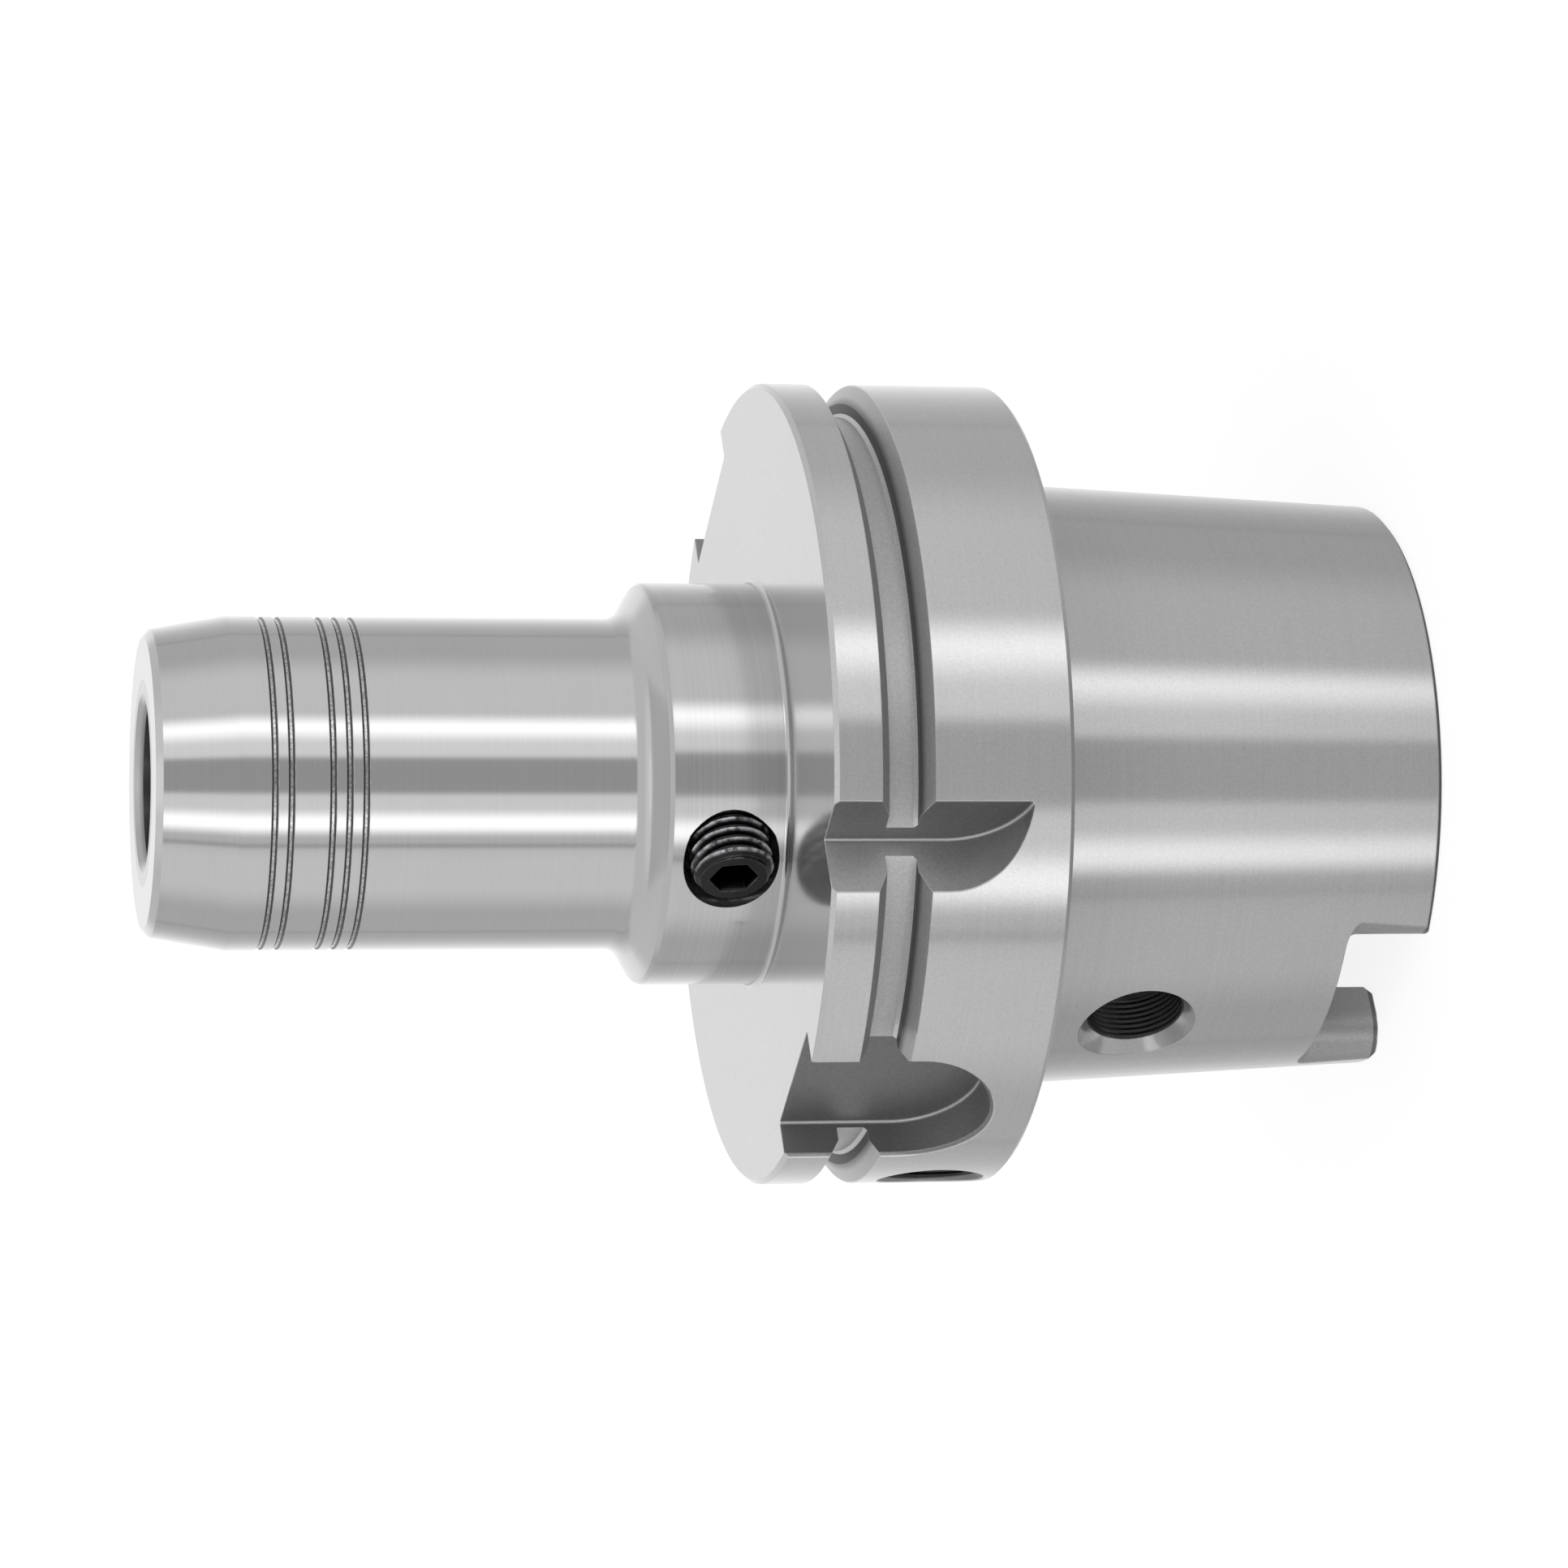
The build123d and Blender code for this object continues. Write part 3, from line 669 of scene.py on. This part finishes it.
def put_piece(name, points, faces, origin, outward, material, body):
    """Makes a closed piece beside an axis, from points in millimetres, and rides it on a body."""
    outward = Vector(outward).normalized()
    across = Vector((1, 0, 0)) if abs(outward.x) < 0.3 else Vector((0, 1, 0))
    across = (across - outward * across.dot(outward)).normalized()
    third = outward.cross(across)
    made = [(Vector(origin) + across * a + third * b + outward * w) * mm for a, b, w in points]
    data = bpy.data.meshes.new(name)
    data.from_pydata(made, [], faces)
    data.validate()
    mesh = bmesh.new()
    mesh.from_mesh(data)
    joined, crease = 0.0005 * mm, radians(38)
    bmesh.ops.remove_doubles(mesh, verts=mesh.verts, dist=joined)
    bmesh.ops.dissolve_degenerate(mesh, edges=mesh.edges, dist=joined)
    open_edges = [edge for edge in mesh.edges if edge.is_boundary]
    if open_edges:
        bmesh.ops.holes_fill(mesh, edges=open_edges)
    bmesh.ops.recalc_face_normals(mesh, faces=mesh.faces)
    mesh.to_mesh(data)
    mesh.free()
    data.shade_smooth()
    data.set_sharp_from_angle(angle=crease)
    data.materials.append(material)
    piece = bpy.data.objects.new(name, data)
    scene.collection.objects.link(piece)
    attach(piece, body)
    return piece


def inner_thread(name, diameter, pitch, length, share, origin, outward, skirt=0.03):
    """Thread ridges inside a hole of the body, with a thin skirt that sits in its wall."""
    hole_r = diameter / 2
    points, faces = skin([
        circle(hole_r, 0), circle(hole_r + skirt, 0), circle(hole_r + skirt, length), circle(hole_r, length),
    ])

    def kept(r, w):
        """Radius of the ridges, run out to the hole's wall at both mouths."""
        return max(r, hole_r - w, hole_r - (length - w))

    add_thread(points, faces, diameter, pitch, length, kept, share)
    # The ridges' dark base is painted shade for the threaded holes, not scale.
    scale = thread_material(name, origin, outward, hole_r * 2, base=0.042, dullness=0.42)
    return put_piece(name, points, faces, origin, outward, scale, "holder")


inner_thread(
    "coolant_thread_ridges", diameter=24.0, pitch=1.5, length=15.0, share=0.9,
    origin=(0, 0, -6.9), outward=(0, 0, 1),
)
inner_thread(
    "access_thread_ridges", diameter=12.0, pitch=0.75, length=5.7, share=0.5,
    origin=(0, -29.1, -key_hole_depth), outward=(0, -1, 0),
)
chip_way = Vector((-sin(chip_turn), -cos(chip_turn), 0))
inner_thread(
    "chip_hole_ridges", diameter=12.0, pitch=0.75, length=4.5, share=0.5,
    origin=chip_way * 44.6 + Vector((0, 0, chip_hole_z)), outward=chip_way,
)

# The expansion bush: a thin-walled steel sleeve brazed into the nose, honed inside. Oil
# behind its wall presses it onto the tool. Only its rim and its bore are seen.

bush_steel, tree = new_material("honed_bush_steel")
surface = use_group(tree, finish, Line_Spacing=0.25, Around=20.0, Streaks=0.12, Mottle=0.04, Satin=0.03)
x, y = spot_in_mm(tree)[:2]
radius = length_of(tree, x, y)
# Painted shade: the bore darkened, and the chamfer darker towards the bore.
bore_r, chamfer_r, bore_tone = 10.03, 10.98, 0.45
chamfer_tone = ramp(tree, radius, 10.0, 10.6, 0.5, 0.88)
tone = blend_values(tree, below(tree, radius, chamfer_r), 1.0, chamfer_tone)
tone = blend_values(tree, below(tree, radius, bore_r), tone, bore_tone)
shader = finish_material(
    tree, scaled_by(tree, steel_colour, maths(tree, "MULTIPLY", surface.outputs["Shade"], tone)),
    maths(tree, "ADD", 0.24, centred(tree, surface.outputs["Lines"], 0.06)),
    soft_edges(tree, surface.outputs["Height"], 0.0005 * mm, 0.1 * mm),
    Metallic=1.0, Anisotropic=0.5, Anisotropic_Rotation=0.25,
)
round_the_axis(tree, shader)
dress("expansion_sleeve", bush_steel)

# The clamping screw: an M10 set screw with a rolled 1.5 mm thread and a 5 mm hexagon socket,
# blackened in hot oxide. Turned in, it pushes the piston and squeezes the oil.


def threaded_screw(
    diameter, pitch, length, edge, hexagon, hexagon_depth, hexagon_turn=0.0, hole=0.0, groove=None,
):
    """Points and faces of a headless screw, from its tip at zero to its face."""
    end_r = diameter / 2 - edge
    hole_edge, socket_edge, socket_edge_depth, floor_step, wall_slope = 0.3, 0.18, 0.25, 0.05, 8
    point_r, point_depth = hexagon / 30, hexagon / 2 * tan(radians(31))

    def hexagonal(grow, height):
        """Points round the wall of the hexagon socket."""
        sixth = pi / 3

        def reach(angle):
            return hexagon / 2 / cos((angle - hexagon_turn) % sixth - sixth / 2) + grow

        return circle(reach, height)

    socket_floor = length - hexagon_depth
    if hole:
        rows = [
            circle(hole / 2 + hole_edge, 0.0), circle(hole / 2, hole_edge), circle(hole / 2, socket_floor),
        ]
    else:
        rows = [circle(point_r, socket_floor - point_depth)]
    rows += [
        circle(hexagon / 2 * 0.98, socket_floor), hexagonal(0.0, socket_floor + floor_step),
        hexagonal(0.0, length - socket_edge_depth), hexagonal(socket_edge, length), circle(end_r, length),
    ]
    points, faces = skin(rows)
    if not hole:
        faces.append(tuple(reversed(range(turns_around))))

    def kept(r, w):
        """Radius of the thread, cut back by the two chamfers and by the groove of a rubber ring."""
        r = min(r, end_r + w, end_r + length - w)
        if groove:
            middle, half, floor = groove
            r = min(r, floor + max(0.0, abs(w - middle) - half) * wall_slope)
        return r

    add_thread(points, faces, diameter, pitch, length, kept)
    return points, faces


clamp_tip = (13.0, -7.8, 36.0)
clamp_way = (0, -1, 0)
points, faces = threaded_screw(
    diameter=10.0, pitch=1.5, length=16.0, edge=0.9, hexagon=5.0, hexagon_depth=6.0,
    hexagon_turn=radians(37.0),
)
clamp = put_piece(
    "clamping_screw_threaded", points, faces, clamp_tip, clamp_way,
    thread_material("black_oxide_clamp", clamp_tip, clamp_way, 5.0), "clamp_screw",
)
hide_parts("clamping_screw")

# The piston and its rubber cup: a ground steel pin that the screw pushes, with the seal that
# keeps the oil in. Both sit deep in their bore behind the screw.

plain_steel, tree = new_material("turned_steel")
surface = use_group(tree, finish, Line_Spacing=0.2, Around=30.0, Streaks=0.15, Mottle=0.05, Satin=0.05)
pin_colour = (0.5, 0.5, 0.505)
finish_material(
    tree, scaled_by(tree, pin_colour, surface.outputs["Shade"]),
    maths(tree, "ADD", 0.28, centred(tree, surface.outputs["Lines"], 0.08)),
    soft_edges(tree, surface.outputs["Height"], 0.0005 * mm, 0.08 * mm),
    Metallic=1.0,
)
dress("pressure_piston", plain_steel)

seal_rubber, tree = new_material("seal_rubber")
spot = tree.nodes.new("ShaderNodeTexCoord").outputs["Object"]
speck = noise(tree, spot, 2500.0, 3.0)
rubber_colour = (0.025, 0.025, 0.025)
finish_material(
    tree, scaled_by(tree, rubber_colour, maths(tree, "ADD", 1.0, centred(tree, speck, 0.5))),
    maths(tree, "ADD", 0.6, centred(tree, speck, 0.15)),
    soft_edges(tree, speck, 0.004 * mm, 0.1 * mm),
)
dress("piston_seal", seal_rubber)

# The filling hole's ball and set screw: a hardened ball on a cone, held by a black M6 screw
# with a 3 mm hexagon socket, on the far side of the collar.

dress("filler_ball", plain_steel)
filler_turn = radians(17.0)
filler_tip = (10.8143, 15.8691, 36.0)
filler_way = (-sin(filler_turn), cos(filler_turn), 0)
points, faces = threaded_screw(
    diameter=6.0, pitch=1.0, length=5.0, edge=0.5, hexagon=3.0, hexagon_depth=2.5,
    hexagon_turn=radians(30.0),
)
filler = put_piece(
    "filler_screw_threaded", points, faces, filler_tip, filler_way,
    thread_material("black_oxide_filler", filler_tip, filler_way, 3.0), "holder",
)
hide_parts("filler_screw")

# The length adjusting screw: a hollow M12 screw behind the tool with a 6 mm hexagon socket,
# and a rubber ring in its groove that keeps the coolant in its channel.

adjuster_tip = (0.0, 0.0, 31.7)
adjuster_way = (0, 0, 1)
points, faces = threaded_screw(
    diameter=12.0, pitch=1.0, length=22.0, edge=0.8, hexagon=6.0, hexagon_depth=9.0,
    hole=5.0, groove=(6.0, 1.0, 4.1),
)
adjuster = put_piece(
    "adjusting_screw_threaded", points, faces, adjuster_tip, adjuster_way,
    thread_material("black_oxide_adjuster", adjuster_tip, adjuster_way, 6.0), "adjuster",
)
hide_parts("adjusting_screw")
dress("adjusting_seal", seal_rubber)
